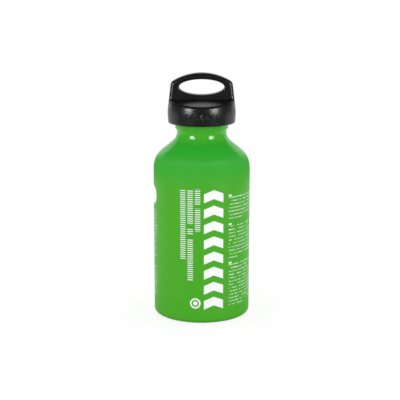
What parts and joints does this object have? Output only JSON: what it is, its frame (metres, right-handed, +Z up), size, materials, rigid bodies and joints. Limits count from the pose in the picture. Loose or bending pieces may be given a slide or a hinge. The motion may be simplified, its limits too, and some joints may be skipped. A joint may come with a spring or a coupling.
{
  "type": "camping fuel bottle",
  "caption": "Lacquered aluminium fuel bottle with a waisted threaded neck and a push and turn screw cap with an arched loop handle.",
  "frame": {"origin": "middle of the base, on the surface that the bottle stands on", "axes": "+Z up along the bottle's axis; the cap's handle lies along X, its loop is open along Y, and the front faces -Y"},
  "size_m": [0.067, 0.067, 0.1689],
  "materials": {
    "lacquered_aluminium": "gloss green lacquer over impact-extruded aluminium, bare inside",
    "plug_polyamide": "moulded black polyamide",
    "nitrile_rubber": "matt black",
    "spring_steel": "drawn stainless wire",
    "cap_polyamide": "moulded black polyamide, satin gloss"
  },
  "bodies": {
    "bottle": {"bottle_body": "lacquered_aluminium"},
    "seal": {"seal_ring": "nitrile_rubber"},
    "plug": {"threaded_plug": "plug_polyamide"},
    "spring": {"clutch_spring": "spring_steel"},
    "shell": {"cap_shell": "cap_polyamide"}
  },
  "joints": [
    {"name": "cap_lift", "type": "slide", "parent": "bottle", "child": "seal", "axis": [0, 0, 1], "range_m": [0, 0.0135]},
    {"name": "cap_unscrew", "type": "hinge", "parent": "seal", "child": "plug", "pos_m": [0, 0, 0.13815], "axis": [0, 0, 1], "range_deg": [0, 1621]},
    {"name": "shell_spin", "type": "hinge", "parent": "plug", "child": "spring", "pos_m": [0, 0, 0.14215], "axis": [0, 0, 1], "continuous": true},
    {"name": "shell_press", "type": "slide", "parent": "spring", "child": "shell", "axis": [0, 0, -1], "range_m": [0, 0.0015], "stiffness_N_per_m": 6000, "springref_m": -0.002, "deforming": ["clutch_spring"]}
  ],
  "couplings": [
    {"joint": "cap_unscrew", "follows": "cap_lift", "rad_per_m": 2094.4}
  ]
}
